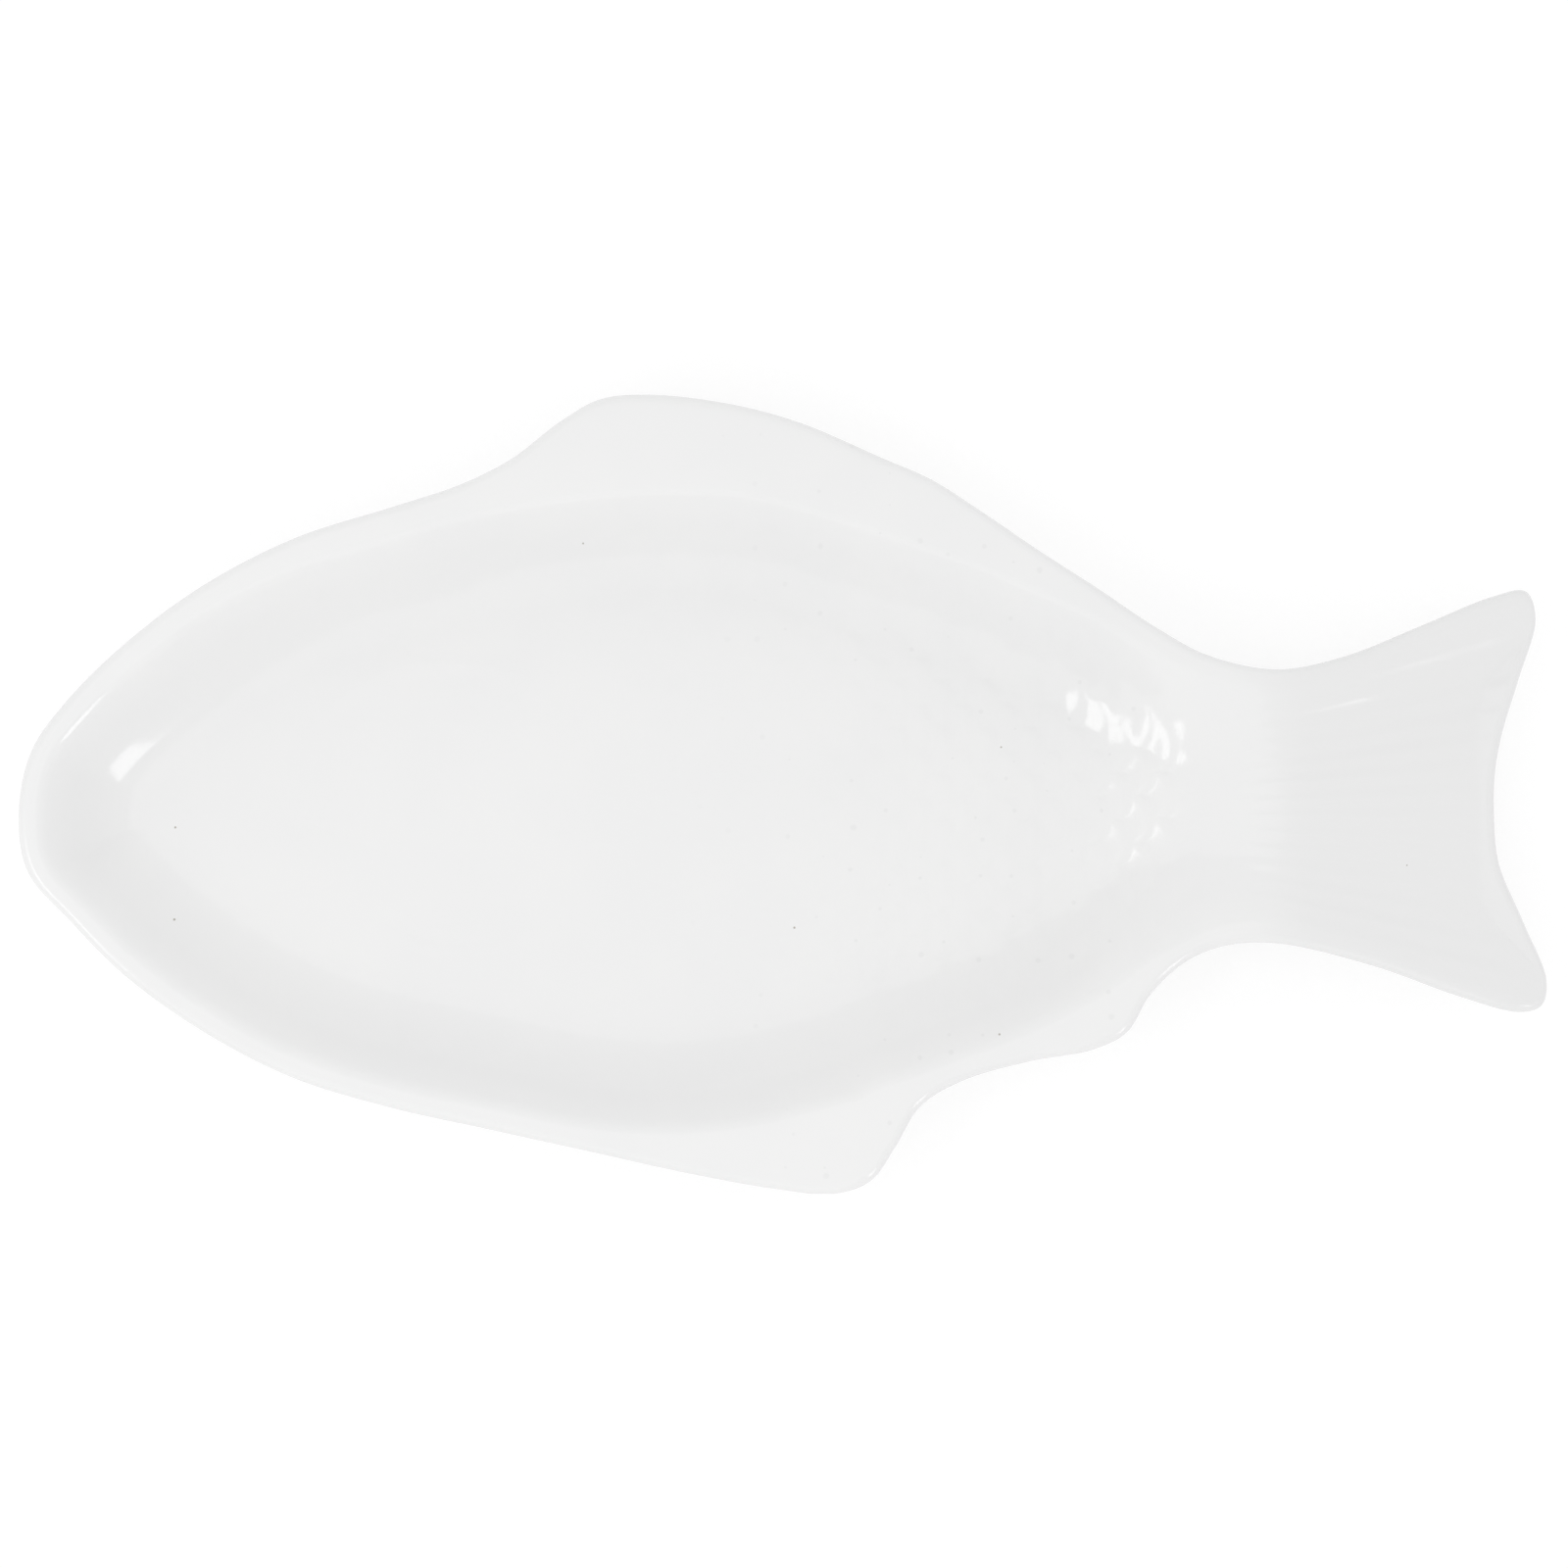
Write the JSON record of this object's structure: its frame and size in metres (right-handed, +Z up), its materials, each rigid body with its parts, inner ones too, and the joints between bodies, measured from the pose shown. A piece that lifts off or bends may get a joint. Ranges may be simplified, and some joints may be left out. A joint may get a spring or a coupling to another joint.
{
  "type": "fish shaped platter",
  "caption": "Fish shaped serving platter in white glazed ceramic, with a deep well, a fin and tail rim, and a bare foot ring.",
  "frame": {"origin": "centre of the platter's outline, on the surface that it stands on", "axes": "+X from the nose to the tail, +Y towards the dorsal fin, +Z up"},
  "size_m": [0.356, 0.186, 0.025],
  "materials": {
    "clay": "fired white clay, under the glaze",
    "bare_foot": "bare fired clay, ground flat",
    "glaze": "glossy white glaze over faint pressed relief"
  },
  "bodies": {
    "root": {"clay_body": "clay", "foot_ring": "bare_foot", "outer_glaze": "glaze", "recess_glaze": "glaze"}
  },
  "joints": []
}
